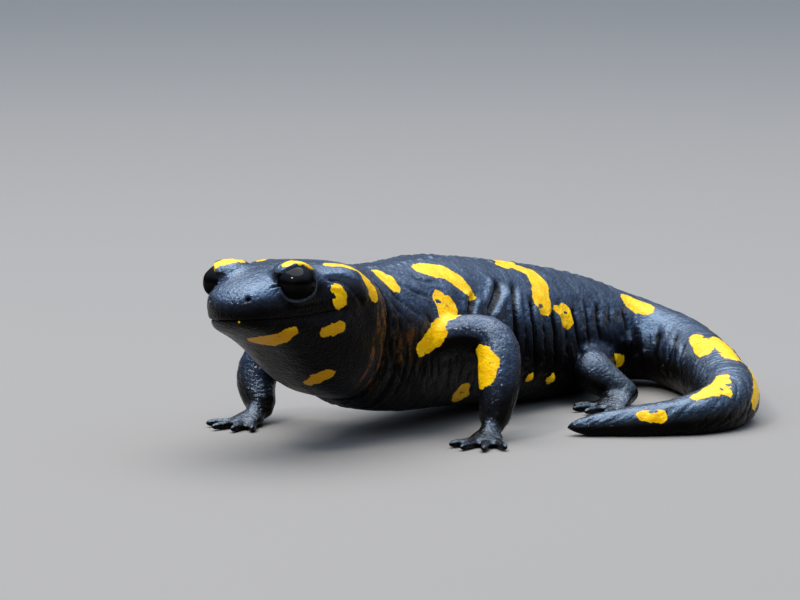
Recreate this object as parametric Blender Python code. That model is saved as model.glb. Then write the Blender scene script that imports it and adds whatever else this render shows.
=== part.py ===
"""A fire salamander, life size and still: propped on its forelegs, with its tail curled round
beside it. Metres, +Z up, the floor at z = 0. Lengths below are in millimetres until MM."""

import math

import bmesh
import bpy
import numpy as np
from mathutils import Vector

MM = 0.001
GAP = 0.3  # between two nodes that touch in life

# The midline from the snout (0) to the tail tip. Each station: distance along the midline,
# heading of the body going backwards (degrees from +X), underside, top, full width, and the share
# of the height at which the body is widest.
HEAD_LENGTH = 25.0
NECK_END = 33.0
CHEST_END = 50.0
BELLY_END = 70.0
LOIN_END = 86.0
PELVIS_END = 101.0
TAIL_BASE_END = 117.0
TAIL_MIDDLE_END = 138.0
TAIL_REAR_END = 157.0
TAIL_TIP = 173.5
HEAD_HEADING = 55.0
STATIONS = {
    "head_back": (HEAD_LENGTH, HEAD_HEADING, 6.5, 27.2, 19.6, 0.71),
    "neck": (30.0, 55.5, 4.6, 25.9, 18.4, 0.62),
    "shoulders": (38.0, 57.0, 3.0, 25.2, 20.2, 0.52),
    "chest": (48.0, 57.0, 2.2, 25.2, 21.8, 0.47),
    "belly": (62.0, 54.0, 1.0, 23.6, 23.4, 0.45),
    "loin": (76.0, 50.0, -0.3, 21.2, 22.4, 0.45),
    "groin": (86.0, 43.0, -0.3, 19.0, 19.0, 0.45),
    "hips": (95.0, 24.0, 0.5, 16.2, 15.4, 0.45),
    "tail_root": (103.0, -28.0, 0.8, 13.1, 12.8, 0.45),
    "tail_base": (111.0, -65.0, 0.1, 11.1, 11.0, 0.45),
    "tail_back": (125.0, -83.0, -0.2, 9.6, 9.6, 0.45),
    "tail_bend": (143.0, -98.0, -0.2, 8.2, 8.8, 0.45),
    "tail_turn": (150.0, -134.0, -0.2, 6.9, 7.5, 0.45),
    "tail_near": (157.0, -166.0, -0.2, 5.4, 6.2, 0.45),
    "tail_thin": (166.0, -175.0, -0.15, 4.0, 4.6, 0.45),
    "tail_tip": (TAIL_TIP, -178.0, 0.0, 2.8, 3.0, 0.45),
}
BACK_FULLNESS = 2.15  # superellipse powers of the back and of the flatter belly
BELLY_FULLNESS = 2.6
TIP_ROUNDING = 5.0  # length over which the tail's end rounds off

# The head, in its own frame: back from the snout, left of the midline, up from the mouth line.
MOUTH_HEIGHT = 20.9
HEAD_HALF_WIDTH = ((0, 3.5), (2, 4.8), (5, 6.1), (9, 7.5), (14, 8.9), (19, 9.9), (22, 10.1), (25, 9.8))
HEAD_TOP = ((0, 3.9), (2, 4.8), (5, 5.8), (9, 6.6), (14, 7.1), (19, 7.0), (25, 6.3))
JAW_DEPTH = ((0, 0.8), (2, 1.6), (5, 3.0), (9, 5.1), (12, 7.2), (15, 9.6), (19, 12.4), (25, 14.4))
MOUTH_RISE = ((0, 0.2), (4, 0.0), (10, 0.0), (15, 0.5), (19, 0.7), (25, 0.3))
SNOUT_ROUNDING = 3.0
LIP_HEIGHT = 2.3  # from the mouth line up to where the muzzle is widest
CROWN_FULLNESS = 2.5
JAW_FULLNESS = 2.0
EYE_RADII = (3.0, 3.0, 2.8)
HEAD_ROLL = 5.0  # degrees that the snout end leans to its right
EYE_PLACE = (8.8, 6.3, 4.7)
BROW_PLACE = (9.0, 5.9, 6.8)
BROW_RADII = (3.8, 3.0, 1.3)
PAROTOID_PLACE = (19.5, 38.0)  # back from the snout, and degrees up from the widest level
PAROTOID_RISE = 0.9

# The legs: joints as (back of the girdle's station, out from the midline, height).
SHOULDER_STATION = 37.5
HIP_STATION = 92.0


def table(pairs, x):
    """A smooth curve through a few (x, value) pairs."""
    xs = np.array([p[0] for p in pairs], float)
    ys = np.array([p[1] for p in pairs], float)
    slopes = np.gradient(ys, xs)
    x = min(max(x, xs[0]), xs[-1])
    i = int(min(np.searchsorted(xs, x, side="right") - 1, len(xs) - 2))
    step = xs[i + 1] - xs[i]
    t = (x - xs[i]) / step
    return float(
        (2 * t**3 - 3 * t**2 + 1) * ys[i]
        + (t**3 - 2 * t**2 + t) * step * slopes[i]
        + (-2 * t**3 + 3 * t**2) * ys[i + 1]
        + (t**3 - t**2) * step * slopes[i + 1]
    )


def station(column, s):
    return table([(row[0], row[column]) for row in STATIONS.values()], s)


def heading_at(s):
    return math.radians(HEAD_HEADING if s <= HEAD_LENGTH else station(1, s))


def walk_midline():
    """Points of the midline on the floor, one per half millimetre, from the snout to the tip."""
    step = 0.5
    points = [Vector((0.0, 0.0, 0.0))]
    for k in range(int(TAIL_TIP / step)):
        turn = heading_at((k + 0.5) * step)
        points.append(points[-1] + step * Vector((math.cos(turn), math.sin(turn), 0.0)))
    return step, points


MIDLINE_STEP, MIDLINE = walk_midline()


def midline(s):
    k = min(max(s / MIDLINE_STEP, 0.0), len(MIDLINE) - 1.001)
    i = int(k)
    return MIDLINE[i].lerp(MIDLINE[i + 1], k - i)


def left_of(s):
    turn = heading_at(s)
    return Vector((math.sin(turn), -math.cos(turn), 0.0))


def power(value, exponent):
    return math.copysign(abs(value) ** exponent, value)


def section(s, angle, grow=0.0):
    """A point on the body's skin: s along the midline, angle from the left side up over the back."""
    low, top, width = station(2, s), station(3, s), station(4, s)
    if s > TAIL_TIP - TIP_ROUNDING:
        k = (s - TAIL_TIP + TIP_ROUNDING) / TIP_ROUNDING
        shrink = math.sqrt(max(1.0 - k * k, 0.0004))
        middle = low + 0.45 * (top - low)
        low, top, width = middle + (low - middle) * shrink, middle + (top - middle) * shrink, width * shrink
    level = low + station(5, s) * (top - low)
    up = math.sin(angle) >= 0
    fullness = BACK_FULLNESS if up else BELLY_FULLNESS
    reach = (top - level if up else level - low) + grow
    side = power(math.cos(angle), 2 / fullness) * (width / 2 + grow)
    height = level + power(math.sin(angle), 2 / fullness) * reach
    return midline(s) + left_of(s) * side + Vector((0.0, 0.0, max(height, -grow)))


def head_point(back, left, up):
    """A point given in the head's own frame, which leans a little, less towards the neck."""
    roll = math.radians(HEAD_ROLL) * (1 - max(back, 0.0) / HEAD_LENGTH)
    left, up = left * math.cos(roll) - up * math.sin(roll), up * math.cos(roll) + left * math.sin(roll)
    return midline(0) + Vector((0, 0, MOUTH_HEIGHT + up)) + left_of(0) * left + back * Vector(
        (math.cos(heading_at(0)), math.sin(heading_at(0)), 0.0)
    )


def make(name, rings, material):
    """A closed solid through rings of equal length, with flat ends."""
    mesh = bmesh.new()
    rows = [[mesh.verts.new(p * MM) for p in ring] for ring in rings]
    count = len(rows[0])
    for a, b in zip(rows, rows[1:]):
        for k in range(count):
            mesh.faces.new((a[k], a[(k + 1) % count], b[(k + 1) % count], b[k]))
    mesh.faces.new(rows[0][::-1])
    mesh.faces.new(rows[-1])
    bmesh.ops.recalc_face_normals(mesh, faces=mesh.faces[:])
    if mesh.calc_volume(signed=True) < 0:
        bmesh.ops.reverse_faces(mesh, faces=mesh.faces[:])
    data = bpy.data.meshes.new(name)
    mesh.to_mesh(data)
    mesh.free()
    data.shade_smooth()
    data.set_sharp_from_angle(angle=math.radians(50))
    data.materials.append(material)
    solid = bpy.data.objects.new(name, data)
    bpy.context.scene.collection.objects.link(solid)
    return solid


def helper(solid):
    solid.hide_render = True
    solid.display_type = "WIRE"
    return solid


def combine(solid, other, operation):
    step = solid.modifiers.new(operation.lower(), "BOOLEAN")
    step.operation = operation
    step.solver = "EXACT"
    step.object = other
    return step


def spread(start, end, spacing):
    count = max(2, round((end - start) / spacing))
    return [start + (end - start) * k / count for k in range(count + 1)]


def body_rings(start, end, around, spacing, grow=0.0):
    return [
        [section(s, 2 * math.pi * (k + 0.5) / around, grow) for k in range(around)]
        for s in spread(start, end, spacing)
    ]


def tail_tip_rings(start, around):
    places = spread(start, TAIL_TIP - TIP_ROUNDING, 2.6)[:-1]
    places += [TAIL_TIP - TIP_ROUNDING * (1 - math.sin(k * math.pi / 12)) for k in range(6)]
    places.append(TAIL_TIP - 0.02)
    return [[section(s, 2 * math.pi * (k + 0.5) / around) for k in range(around)] for s in places]


def snout_share(back):
    """How far the snout has opened out, 0 at its end and 1 behind its rounding."""
    k = 1.0 - min(back / SNOUT_ROUNDING, 1.0)
    return math.sqrt(max(1.0 - k**2.2, 0.0025))


def nape_share(back):
    """How far the head has taken the neck's section, 0 at the cheeks and 1 at the nape."""
    k = min(max((back - 15.0) / (HEAD_LENGTH - 15.0), 0.0), 1.0)
    return k * k * (3 - 2 * k)


def parotoid(back, angle):
    along = (back - PAROTOID_PLACE[0]) / 5.0
    across = (math.degrees(angle) - PAROTOID_PLACE[1]) / 24.0
    return PAROTOID_RISE * math.exp(-along * along - across * across)


def crown_ring(back, count):
    """The upper head: an arch over the mouth line, closed by a flat roof of the mouth."""
    share = snout_share(back)
    half, top = table(HEAD_HALF_WIDTH, back) * share, table(HEAD_TOP, back)
    floor = table(MOUTH_RISE, back) + GAP / 2
    nape = nape_share(back)
    middle = LIP_HEIGHT + (floor + 0.3 - LIP_HEIGHT) * nape
    fullness = CROWN_FULLNESS + (BACK_FULLNESS - CROWN_FULLNESS) * nape
    ring = []
    for k in range(count + 1):
        angle = math.pi * k / count
        side = power(math.cos(angle), 2 / fullness) * half
        high = middle + power(math.sin(angle), 2 / fullness) * (top - middle) * share
        swell = parotoid(back, min(angle, math.pi - angle)) * (1 - nape**2)
        side += math.copysign(swell * 0.8, side) if abs(side) > 0.5 else 0.0
        ring.append((side, high + swell * 0.6 * math.sin(angle)))
    lip_in = 0.35 * share
    ring.append((-half, (middle + floor) / 2))
    ring.append((-half + lip_in, floor))
    ring += [(half * x, floor) for x in (-0.45, 0.0, 0.45)]
    ring.append((half - lip_in, floor))
    ring.append((half, (middle + floor) / 2))
    return [head_point(back, left, up) for left, up in ring]


def jaw_ring(back, count):
    share = snout_share(back - 0.35) if back > 0.35 else 0.05
    half = (table(HEAD_HALF_WIDTH, back) - 0.35 * (1 - nape_share(back))) * share
    deep = table(JAW_DEPTH, back)
    fullness = JAW_FULLNESS + (BELLY_FULLNESS - JAW_FULLNESS) * min(back / 16.0, 1.0)
    lip = table(MOUTH_RISE, back) - GAP / 2
    ring = []
    for k in range(count + 1):
        angle = math.pi + math.pi * k / count
        side = power(math.cos(angle), 2 / fullness) * half
        drop = power(math.sin(angle), 2 / fullness) * (deep + lip - 0.5) * share
        ring.append((side, lip - 0.5 * share + drop))
    ring.append((half - 0.3 * share, lip))
    ring += [(half * x, lip) for x in (0.45, 0.0, -0.45)]
    ring.append((-half + 0.3 * share, lip))
    return [head_point(back, left, up) for left, up in ring]


def ball(name, place, radii, material, across=20, rows=12):
    """An ellipsoid in the head's frame."""
    mesh = bmesh.new()
    bmesh.ops.create_uvsphere(mesh, u_segments=across, v_segments=rows, radius=1.0)
    for v in mesh.verts:
        back, left, up = (place[k] + v.co[k] * radii[k] for k in range(3))
        v.co = head_point(back, left, up) * MM
    bmesh.ops.recalc_face_normals(mesh, faces=mesh.faces[:])
    if mesh.calc_volume(signed=True) < 0:
        bmesh.ops.reverse_faces(mesh, faces=mesh.faces[:])
    data = bpy.data.meshes.new(name)
    mesh.to_mesh(data)
    mesh.free()
    data.shade_smooth()
    data.materials.append(material)
    solid = bpy.data.objects.new(name, data)
    bpy.context.scene.collection.objects.link(solid)
    return solid


def limb_line(joints, t):
    """A point of the smooth line through a limb's joints, and its direction; t counts joints."""
    marks = range(len(joints))

    def place(t):
        t = min(max(t, 0), len(joints) - 1)
        return Vector([table([(m, j[k]) for m, j in zip(marks, joints)], t) for k in range(3)])

    return place(t), (place(t + 0.02) - place(t - 0.02)).normalized()


def limb_rings(joints, radii, start, end, around, steps):
    """Rings of a limb between two places on its line. Both ends stop half a gap short."""
    rings = []
    ends = [(limb_line(joints, start), 1), (limb_line(joints, end), -1)]
    side = Vector((0, 0, 1)).cross(ends[0][0][1])
    for n in range(steps + 1):
        t = start + (end - start) * n / steps
        here, ahead = limb_line(joints, t)
        side = (side - ahead * side.dot(ahead)).normalized()
        upward = side.cross(ahead)
        radius = table(list(enumerate(radii)), t)
        ring = []
        for k in range(around):
            angle = 2 * math.pi * k / around
            p = here + radius * (math.cos(angle) * side + math.sin(angle) * upward)
            for (corner, along), way in ends:
                short = GAP / 2 - way * (p - corner).dot(along)
                if short > 0:
                    p += along * short * way
            ring.append(Vector((p.x, p.y, max(p.z, 0.0))))
        rings.append(ring)
    return rings


def digit_rings(root, tip, thick, around=7):
    """A finger: tapering to a rounded end, and lying on the floor."""
    along = tip - root
    length = along.length
    ahead = along.normalized()
    side = ahead.cross(Vector((0, 0, 1))).normalized()
    upward = side.cross(ahead)
    rings = []
    for share, size in ((0, 1.0), (0.35, 0.92), (0.7, 0.9), (0.9, 0.72), (1.0, 0.3)):
        here = root + ahead * (length * share)
        rings.append(
            [
                here + size * thick / 2 * (
                    math.cos(2 * math.pi * k / around) * side
                    + math.sin(2 * math.pi * k / around) * upward
                )
                for k in range(around)
            ]
        )
    return [[Vector((p.x, p.y, max(p.z, 0.0))) for p in ring] for ring in rings]


def material(name, colour, roughness):
    look = bpy.data.materials.new(name)
    look.use_nodes = True
    shader = look.node_tree.nodes["Principled BSDF"]
    shader.inputs["Base Color"].default_value = (*colour, 1.0)
    shader.inputs["Roughness"].default_value = roughness
    shader.inputs["Metallic"].default_value = 0.0
    return look


for old in list(bpy.data.objects):
    bpy.data.objects.remove(old)
SKIN = material("skin", (0.012, 0.013, 0.018), 0.3)
EYE = material("eye", (0.003, 0.003, 0.004), 0.05)

# Head, jaw and eyes
crown_places = [0.06, 0.25, 0.7, 1.4, 2.3, 3.4] + spread(4.8, HEAD_LENGTH, 2.0)
head = make("head", [crown_ring(back, 20) for back in crown_places], SKIN)
jaw_places = [0.45, 0.7, 1.3, 2.1, 3.2] + spread(4.6, HEAD_LENGTH, 2.3)
make("lower_jaw", [jaw_ring(back, 12) for back in jaw_places], SKIN)
for side, sign in (("left", 1), ("right", -1)):
    eye_place = (EYE_PLACE[0], sign * EYE_PLACE[1], EYE_PLACE[2])
    brow_place = (BROW_PLACE[0], sign * BROW_PLACE[1], BROW_PLACE[2])
    brow = helper(ball("brow_" + side, brow_place, BROW_RADII, SKIN, 16, 8))
    combine(head, brow, "UNION")
    socket = helper(ball("socket_" + side, eye_place, [r + GAP for r in EYE_RADII], SKIN, 18, 10))
    combine(head, socket, "DIFFERENCE")
    ball("eye_" + side, eye_place, EYE_RADII, EYE, 16, 10)

# Neck, trunk and tail
LENGTHS = (
    ("neck", HEAD_LENGTH, NECK_END, 28, 2.7),
    ("chest", NECK_END, CHEST_END, 28, 3.4),
    ("belly", CHEST_END, BELLY_END, 28, 4.0),
    ("loin", BELLY_END, LOIN_END, 28, 2.7),
    ("pelvis", LOIN_END, PELVIS_END, 26, 1.9),
    ("tail_base", PELVIS_END, TAIL_BASE_END, 20, 1.8),
    ("tail_middle", TAIL_BASE_END, TAIL_MIDDLE_END, 18, 2.6),
    ("tail_rear", TAIL_MIDDLE_END, TAIL_REAR_END, 16, 1.9),
)
for name, start, end, around, spacing in LENGTHS:
    make(name, body_rings(start + GAP, end, around, spacing), SKIN)
make("tail_tip", tail_tip_rings(TAIL_REAR_END + GAP, 14), SKIN)

# Legs
around_trunk = helper(make("around_trunk", body_rings(HEAD_LENGTH - 1, TAIL_BASE_END, 28, 2.5, GAP), SKIN))
ARM_RADII = (3.0, 2.9, 3.3, 3.2, 2.3)
LEG_RADII = (3.6, 3.2, 3.2, 2.8, 2.1)
LEGS = {
    # name: station, side, joints (forward, out, up) from root to wrist, and splay of the toes
    "foreleg_left": (
        SHOULDER_STATION,
        1,
        ((-1, 6, 13), (-4.5, 12, 15.1), (-5.9, 17.3, 14.2), (-3.5, 19.6, 8.6), (-1.5, 19.8, 2.7)),
        15,
    ),
    "foreleg_right": (
        SHOULDER_STATION, -1, ((0, 5, 13), (0.5, 12.6, 12.6), (0.3, 19.3, 10), (2, 20.4, 6.2), (4, 18, 2.5)), 5,
    ),
    "hindleg_left": (
        HIP_STATION, 1, ((0.5, 4, 5.6), (5.3, 8.8, 4.9), (9, 13.3, 5.3), (8.8, 17, 3.7), (7, 19.9, 2.1)), 20,
    ),
    "hindleg_right": (
        HIP_STATION, -1, ((0, 4, 7), (4, 9, 6.4), (7, 13.5, 5.4), (6, 17.5, 3.6), (3, 20, 2.1)), 30,
    ),
}
DIGIT_THICKNESS = 1.5
# Digits: angle across the hand or foot, and length beyond it.
HAND = ((-38, 3.4), (-14, 4.6), (10, 4.8), (36, 3.6))
FOOT = ((-46, 3.0), (-24, 4.6), (-3, 5.4), (18, 5.0), (42, 3.6))
for name, (at, sign, joints, splay) in LEGS.items():
    fore = name.startswith("fore")
    upper, lower, end = ("upper_arm", "forearm", "hand") if fore else ("thigh", "shank", "foot")
    side_name = name.split("_")[1]
    turn = heading_at(at)
    forward = Vector((-math.cos(turn), -math.sin(turn), 0.0))
    out = left_of(at) * sign
    spots = [midline(at) + forward * f + out * o + Vector((0, 0, u)) for f, o, u in joints]
    radii = ARM_RADII if fore else LEG_RADII
    loose = [r + GAP for r in radii]
    top = make(f"{upper}_{side_name}", limb_rings(spots, radii, 0, 2, 12, 7), SKIN)
    combine(top, around_trunk, "DIFFERENCE")
    bottom = make(f"{lower}_{side_name}", limb_rings(spots, radii, 2, 4, 12, 7), SKIN)
    combine(bottom, around_trunk, "DIFFERENCE")
    # The hand or foot starts as a low pad in front of the wrist, with its digits fanned out.
    wrist = spots[-1]
    toes = (forward * math.cos(math.radians(splay)) + out * math.sin(math.radians(splay))).normalized()
    across = Vector((0, 0, 1)).cross(toes) * sign
    lean = (spots[-1] - spots[-2]).normalized()
    heel = wrist + lean * 0.25
    pad_half, pad_length = (2.7, 4.0) if fore else (3.0, 5.0)
    pad = []
    for share, wide, high in ((0.0, 0.72, 1.5), (0.3, 0.9, 1.35), (0.65, 1.0, 1.05), (1.0, 0.9, 0.8)):
        middle = Vector((wrist.x, wrist.y, 0)) + toes * (pad_length * share + 1.6)
        pad.append(
            [
                middle + across * (pad_half * wide * math.cos(2 * math.pi * k / 14))
                + Vector((0, 0, max(high * (0.8 + math.sin(2 * math.pi * k / 14)), 0.0)))
                for k in range(14)
            ]
        )
    palm = make(f"{end}_{side_name}", pad, SKIN)
    for number, (angle, length) in enumerate(HAND if fore else FOOT):
        swing = math.radians(angle)
        way = toes * math.cos(swing) + across * math.sin(swing)
        root = Vector((wrist.x, wrist.y, 0.65)) + toes * (1.6 + pad_length * 0.62) + across * (
            pad_half * 0.75 * math.sin(swing * 1.4)
        )
        rings = digit_rings(root, root + way * (length + 1.2), DIGIT_THICKNESS)
        digit = helper(make(f"digit_{name}_{number}", rings, SKIN))
        combine(palm, digit, "UNION")
    around_shin = helper(make("around_lower_" + name, limb_rings(spots, loose, 2.5, 4, 12, 6), SKIN))
    combine(palm, around_shin, "DIFFERENCE")

# The origin goes to the middle of the model's box, on the floor.
bpy.context.view_layer.update()
graph = bpy.context.evaluated_depsgraph_get()
corners = []
for solid in bpy.data.objects:
    if not solid.hide_render:
        corners += [v.co for v in solid.evaluated_get(graph).data.vertices]
low = Vector([min(c[k] for c in corners) for k in range(3)])
high = Vector([max(c[k] for c in corners) for k in range(3)])
shift = Vector((-(low.x + high.x) / 2, -(low.y + high.y) / 2, -low.z))
for solid in bpy.data.objects:
    for v in solid.data.vertices:
        v.co += shift
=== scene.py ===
"""The looks of the fire salamander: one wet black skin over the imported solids, with its folds,
glands and yellow markings, and glossy black eyes."""

import math

import bmesh
import bpy
import numpy as np
from mathutils import Matrix, Vector
from mathutils.bvhtree import BVHTree


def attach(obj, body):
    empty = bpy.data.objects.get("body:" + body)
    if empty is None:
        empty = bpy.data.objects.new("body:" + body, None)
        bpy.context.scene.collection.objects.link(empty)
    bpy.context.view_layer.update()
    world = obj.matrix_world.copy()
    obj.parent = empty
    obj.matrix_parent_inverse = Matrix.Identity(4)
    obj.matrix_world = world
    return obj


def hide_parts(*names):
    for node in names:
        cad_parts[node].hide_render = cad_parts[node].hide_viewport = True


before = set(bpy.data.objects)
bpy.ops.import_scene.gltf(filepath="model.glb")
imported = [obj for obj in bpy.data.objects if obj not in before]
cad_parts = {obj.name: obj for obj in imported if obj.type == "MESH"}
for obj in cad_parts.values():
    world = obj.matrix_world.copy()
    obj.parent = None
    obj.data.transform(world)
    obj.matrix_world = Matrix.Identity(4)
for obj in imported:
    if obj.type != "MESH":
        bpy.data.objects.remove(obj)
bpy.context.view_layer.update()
MM = 0.001

# ---------------------------------------------------------------- the body's own measures, in mm
# The midline's stations: distance from the snout, heading going backwards, underside, top, width,
# and the share of the height at which the body is widest.
SNOUT = (-37.62, -46.04)  # where the snout's tip stands over the floor
HEAD_LENGTH = 25.0
TAIL_TIP = 173.5
HEAD_HEADING = 55.0
STATIONS = (
    (HEAD_LENGTH, HEAD_HEADING, 6.5, 27.2, 19.6, 0.71),
    (30.0, 55.5, 4.6, 25.9, 18.4, 0.62),
    (38.0, 57.0, 3.0, 25.2, 20.2, 0.52),
    (48.0, 57.0, 2.2, 25.2, 21.8, 0.47),
    (62.0, 54.0, 1.0, 23.6, 23.4, 0.45),
    (76.0, 50.0, -0.3, 21.2, 22.4, 0.45),
    (86.0, 43.0, -0.3, 19.0, 19.0, 0.45),
    (95.0, 24.0, 0.5, 16.2, 15.4, 0.45),
    (103.0, -28.0, 0.8, 13.1, 12.8, 0.45),
    (111.0, -65.0, 0.1, 11.1, 11.0, 0.45),
    (125.0, -83.0, -0.2, 9.6, 9.6, 0.45),
    (143.0, -98.0, -0.2, 8.2, 8.8, 0.45),
    (150.0, -134.0, -0.2, 6.9, 7.5, 0.45),
    (157.0, -166.0, -0.2, 5.4, 6.2, 0.45),
    (166.0, -175.0, -0.15, 4.0, 4.6, 0.45),
    (TAIL_TIP, -178.0, 0.0, 2.8, 3.0, 0.45),
)
BACK_FULLNESS = 2.15
BELLY_FULLNESS = 2.6
MOUTH_HEIGHT = 20.9
HEAD_ROLL = 5.0
MOUTH_RISE = ((0, 0.2), (4, 0.0), (10, 0.0), (15, 0.5), (19, 0.7), (25, 0.3))
EYE_PLACE = (8.8, 6.3, 4.7)  # back from the snout, to the side, above the mouth line
EYE_RADII = (3.0, 3.0, 2.8)
# Each limb: where it leaves the body, its side, and its joints as (forward, out, up).
SHOULDERS, HIPS = 37.5, 92.0
LIMBS = {
    "foreleg_left": (
        SHOULDERS, 1,
        ((-1, 6, 13), (-4.5, 12, 15.1), (-5.9, 17.3, 14.2), (-3.5, 19.6, 8.6), (-1.5, 19.8, 2.7)),
    ),
    "foreleg_right": (
        SHOULDERS, -1,
        ((0, 5, 13), (0.5, 12.6, 12.6), (0.3, 19.3, 10), (2, 20.4, 6.2), (4, 18, 2.5)),
    ),
    "hindleg_left": (
        HIPS, 1,
        ((0.5, 4, 5.6), (5.3, 8.8, 4.9), (9, 13.3, 5.3), (8.8, 17, 3.7), (7, 19.9, 2.1)),
    ),
    "hindleg_right": (
        HIPS, -1,
        ((0, 4, 7), (4, 9, 6.4), (7, 13.5, 5.4), (6, 17.5, 3.6), (3, 20, 2.1)),
    ),
}
TOE_SPLAY = {"foreleg_left": 15, "foreleg_right": 5, "hindleg_left": 20, "hindleg_right": 30}
LIMB_NODES = {
    "foreleg_left": ("upper_arm_left", "forearm_left", "hand_left"),
    "foreleg_right": ("upper_arm_right", "forearm_right", "hand_right"),
    "hindleg_left": ("thigh_left", "shank_left", "foot_left"),
    "hindleg_right": ("thigh_right", "shank_right", "foot_right"),
}


def curve(pairs):
    """The same smooth curve through a few (x, value) pairs as the solids use, for whole arrays."""
    xs = np.array([p[0] for p in pairs], float)
    ys = np.array([p[1] for p in pairs], float)
    slopes = np.gradient(ys, xs)

    def at(x):
        x = np.clip(np.asarray(x, float), xs[0], xs[-1])
        i = np.clip(np.searchsorted(xs, x, side="right") - 1, 0, len(xs) - 2)
        step = xs[i + 1] - xs[i]
        t = (x - xs[i]) / step
        return (
            (2 * t**3 - 3 * t**2 + 1) * ys[i]
            + (t**3 - 2 * t**2 + t) * step * slopes[i]
            + (-2 * t**3 + 3 * t**2) * ys[i + 1]
            + (t**3 - t**2) * step * slopes[i + 1]
        )

    return at


def smooth(x):
    x = np.clip(x, 0.0, 1.0)
    return x * x * (3 - 2 * x)


def band(x, start, end, ease):
    """1 between start and end, falling to 0 over ease outside them."""
    return smooth((x - start) / ease + 1) * smooth((end - x) / ease + 1)


def hill(x, width):
    return np.exp(-((x / width) ** 2))


def signed_power(x, p):
    return np.sign(x) * np.abs(x) ** p


heading_at, low_at, top_at, width_at, share_at = (
    curve([(row[0], row[k]) for row in STATIONS]) for k in range(1, 6)
)
STEP = 0.5  # the midline is walked in half millimetres, as the solids walk it
walk = np.arange(0, TAIL_TIP, STEP) + STEP / 2
turn = np.radians(np.where(walk <= HEAD_LENGTH, HEAD_HEADING, heading_at(walk)))
ahead = STEP * np.column_stack([np.cos(turn), np.sin(turn)])
track = np.array(SNOUT) + np.vstack([[0, 0], np.cumsum(ahead, 0)])
track_s = np.arange(len(track)) * STEP


def midline(s):
    return np.stack([np.interp(s, track_s, track[:, 0]), np.interp(s, track_s, track[:, 1])], -1)


def heading(s):
    s = np.asarray(s, float)
    return np.radians(np.where(s <= HEAD_LENGTH, HEAD_HEADING, heading_at(s)))


def left_of(s):
    h = heading(s)
    return np.stack([np.sin(h), -np.cos(h)], -1)


def level_at(s):
    return low_at(s) + share_at(s) * (top_at(s) - low_at(s))


def body_place(points):
    """(s, angle, side, excess) of points: the distance along the midline, the angle round the
    section in degrees (0 left, 90 top, 180 right), mm to the left, and how far outside the
    section it lies, as a share of it."""
    best = np.full(len(points), np.inf)
    s = np.zeros(len(points))
    for i in range(len(track)):
        away = np.hypot(points[:, 0] - track[i, 0], points[:, 1] - track[i, 1])
        near = away < best
        best[near] = away[near]
        s[near] = track_s[i]
    along = np.stack([np.cos(heading(s)), np.sin(heading(s))], -1)
    s = np.clip(s + ((points[:, :2] - midline(s)) * along).sum(1), 0, TAIL_TIP)
    side = ((points[:, :2] - midline(s)) * left_of(s)).sum(1)
    at = np.maximum(s, HEAD_LENGTH)
    high = points[:, 2] - level_at(at)
    up = high >= 0
    fullness = np.where(up, BACK_FULLNESS, BELLY_FULLNESS)
    reach = np.where(up, top_at(at) - level_at(at), level_at(at) - low_at(at))
    a = np.abs(side / (width_at(at) / 2)) ** (fullness / 2)
    b = np.abs(high / reach) ** (fullness / 2)
    angle = np.degrees(np.arctan2(np.sign(high) * b, np.sign(side) * a))
    return s, angle, side, (a * a + b * b) ** (1 / fullness) - 1


def on_body(s, angle):
    """The point of the body's surface at a distance along the midline and an angle round it."""
    up = angle >= 0
    fullness = BACK_FULLNESS if up else BELLY_FULLNESS
    level = float(level_at(s))
    reach = float(top_at(s)) - level if up else level - float(low_at(s))
    a = math.radians(angle)
    side = float(signed_power(math.cos(a), 2 / fullness)) * float(width_at(s)) / 2
    high = level + float(signed_power(math.sin(a), 2 / fullness)) * reach
    return np.array([*(midline(s) + left_of(s) * side), high])


HEAD_TURN = math.radians(HEAD_HEADING)
HEAD_WAY = np.array([math.cos(HEAD_TURN), math.sin(HEAD_TURN)])
HEAD_LEFT = np.array([math.sin(HEAD_TURN), -math.cos(HEAD_TURN)])


def head_place(points):
    """(back, left, up) of points in the head: from the snout, from the middle, and above the
    mouth line."""
    flat = points[:, :2] - np.array(SNOUT)
    back = flat @ HEAD_WAY
    side = flat @ HEAD_LEFT
    high = points[:, 2] - MOUTH_HEIGHT
    roll = np.radians(HEAD_ROLL) * (1 - np.clip(back, 0, HEAD_LENGTH) / HEAD_LENGTH)
    left = side * np.cos(roll) + high * np.sin(roll)
    up = high * np.cos(roll) - side * np.sin(roll)
    return back, left, up


def in_head(back, left, up):
    """The point that head_place() gives back."""
    roll = math.radians(HEAD_ROLL) * (1 - min(max(back, 0), HEAD_LENGTH) / HEAD_LENGTH)
    side = left * math.cos(roll) - up * math.sin(roll)
    high = up * math.cos(roll) + left * math.sin(roll)
    flat = np.array(SNOUT) + back * HEAD_WAY + side * HEAD_LEFT
    return np.array([*flat, MOUTH_HEIGHT + high])


def limb_axes(name):
    at, sign, _ = LIMBS[name]
    h = float(heading(at))
    forward = np.array([-math.cos(h), -math.sin(h), 0.0])
    out = sign * np.array([math.sin(h), -math.cos(h), 0.0])
    return np.array([*midline(at), 0.0]), forward, out


def toe_way(name):
    _, forward, out = limb_axes(name)
    splay = math.radians(TOE_SPLAY[name])
    return forward * math.cos(splay) + out * math.sin(splay)


def by_limb(name, forward, out, up):
    start, ahead_way, out_way = limb_axes(name)
    return start + forward * ahead_way + out * out_way + np.array([0, 0, up])


# ---------------------------------------------------------------- places on the skin
def at_place(kind, place):
    """The point that a place names: (s, angle) for "body", (back, left, up) for "head",
    (forward, out, up) for a limb's name, and the point itself for "skin"."""
    if kind == "skin":
        return place
    if kind == "body":
        return on_body(*place)
    if kind == "head":
        return in_head(*place)
    return by_limb(kind, *place)


TRAIL_REACH = 5.0  # mm round a trail within which distances are worked out
FAR_OFF = 99.0  # the distance given to all other points


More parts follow.
